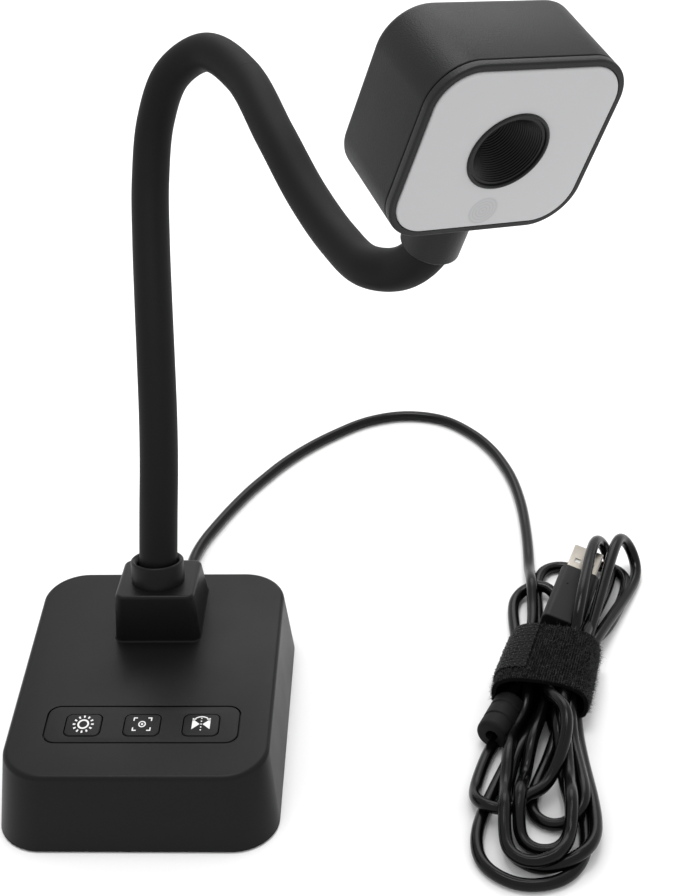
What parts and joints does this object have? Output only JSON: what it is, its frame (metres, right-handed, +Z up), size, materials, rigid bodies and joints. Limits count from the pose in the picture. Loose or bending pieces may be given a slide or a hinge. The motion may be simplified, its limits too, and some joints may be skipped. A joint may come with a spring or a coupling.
{
  "type": "video magnifier",
  "caption": "Desktop video magnifier: camera head with a lit square face on a bendable neck, weighted base with push buttons, and a USB lead coiled under a strap.",
  "frame": {"origin": "on the desk, under the middle of the base", "axes": "+X to the user's right, -Y towards the user who faces the buttons, +Z up"},
  "size_m": [0.2332, 0.2973, 0.2716],
  "materials": {
    "satin_black": "satin moulded ABS",
    "button_black": "satin button caps with printed icons",
    "rubber_black": "matte elastomer",
    "gloss_black": "glossy PVC jacket",
    "fabric_black": "hook-and-loop tape",
    "milk_white": "milky translucent plastic",
    "steel": "plain steel",
    "nickel": "nickel plate",
    "board_green": "glass-fibre circuit board",
    "lens_glass": "coated glass"
  },
  "bodies": {
    "base": {"base_shell": "satin_black", "base_plate": "satin_black", "anti_slip_pad": "rubber_black", "ballast_weight": "steel", "base_screw_1": "steel", "base_screw_2": "steel", "base_screw_3": "steel", "base_screw_4": "steel", "control_board": "board_green", "button_panel": "satin_black", "brightness_switch": "steel", "focus_switch": "steel", "mirror_switch": "steel", "pedestal": "satin_black", "cable_gland": "rubber_black", "neck_socket": "satin_black", "neck_lock_nut": "steel", "neck_sleeve_1": "rubber_black", "gooseneck_core_1": "steel", "usb_lead": "gloss_black", "lead_hank": "gloss_black", "hook_loop_tie": "fabric_black", "ferrite_bead": "rubber_black", "plug_grip": "rubber_black", "plug_shell": "nickel", "plug_tongue": "milk_white"},
    "brightness_key": {"brightness_button": "button_black", "brightness_plunger": "milk_white"},
    "focus_key": {"focus_button": "button_black", "focus_plunger": "milk_white"},
    "mirror_key": {"mirror_button": "button_black", "mirror_plunger": "milk_white"},
    "neck_2": {"neck_sleeve_2": "rubber_black", "gooseneck_core_2": "steel"},
    "neck_3": {"neck_sleeve_3": "rubber_black", "gooseneck_core_3": "steel"},
    "neck_4": {"neck_sleeve_4": "rubber_black", "gooseneck_core_4": "steel"},
    "neck_5": {"neck_sleeve_5": "rubber_black", "gooseneck_core_5": "steel"},
    "neck_6": {"neck_sleeve_6": "rubber_black", "gooseneck_core_6": "steel"},
    "neck_7": {"neck_sleeve_7": "rubber_black", "gooseneck_core_7": "steel", "neck_stud": "steel"},
    "head": {"head_housing": "satin_black", "head_bezel": "satin_black", "diffuser": "milk_white", "led_board": "board_green", "lens_ring": "satin_black", "lens_funnel": "rubber_black", "lens_holder": "satin_black", "camera_board": "board_green", "touch_sensor": "nickel", "head_screw_1": "steel", "head_screw_2": "steel", "head_collar": "satin_black"},
    "lens": {"lens_barrel": "satin_black", "lens_element": "lens_glass"}
  },
  "joints": [
    {"name": "brightness_press", "type": "slide", "parent": "base", "child": "brightness_key", "axis": [0, 0, -1], "range_m": [0, 0.0006], "stiffness_N_per_m": 1500},
    {"name": "focus_press", "type": "slide", "parent": "base", "child": "focus_key", "axis": [0, 0, -1], "range_m": [0, 0.0006], "stiffness_N_per_m": 1500},
    {"name": "mirror_press", "type": "slide", "parent": "base", "child": "mirror_key", "axis": [0, 0, -1], "range_m": [0, 0.0006], "stiffness_N_per_m": 1500},
    {"name": "neck_bend_1", "type": "hinge", "parent": "base", "child": "neck_2", "pos_m": [0.0025, 0.05213, 0.09227], "axis": [-0.9993, -0.0379, 0], "range_deg": [-20, 20]},
    {"name": "neck_bend_2", "type": "hinge", "parent": "neck_2", "child": "neck_3", "pos_m": [-0.00026, 0.08667, 0.1309], "axis": [0.0625, -0.7154, 0.6959], "range_deg": [-20, 20]},
    {"name": "neck_bend_3", "type": "hinge", "parent": "neck_3", "child": "neck_4", "pos_m": [-0.00168, 0.12076, 0.16989], "axis": [-0.9951, 0.099, 0], "range_deg": [-20, 20]},
    {"name": "neck_bend_4", "type": "hinge", "parent": "neck_4", "child": "neck_5", "pos_m": [0.02111, 0.12429, 0.20957], "axis": [-0.1785, 0.1494, 0.9725], "range_deg": [-20, 20]},
    {"name": "neck_bend_5", "type": "hinge", "parent": "neck_5", "child": "neck_6", "pos_m": [0.04656, 0.08169, 0.19816], "axis": [0.9165, 0.4, 0], "range_deg": [-20, 20]},
    {"name": "neck_bend_6", "type": "hinge", "parent": "neck_6", "child": "neck_7", "pos_m": [0.06835, 0.03834, 0.17995], "axis": [0.1134, -0.2018, 0.9728], "range_deg": [-20, 20]},
    {"name": "head_swivel", "type": "hinge", "parent": "neck_7", "child": "head", "pos_m": [0.10181, 0.0033, 0.19938], "axis": [0.3109, -0.1883, 0.9316], "range_deg": [-90, 90]},
    {"name": "autofocus_travel", "type": "slide", "parent": "head", "child": "lens", "axis": [0.4508, -0.8337, -0.319], "range_m": [0, 0.0004], "stiffness_N_per_m": 400}
  ]
}
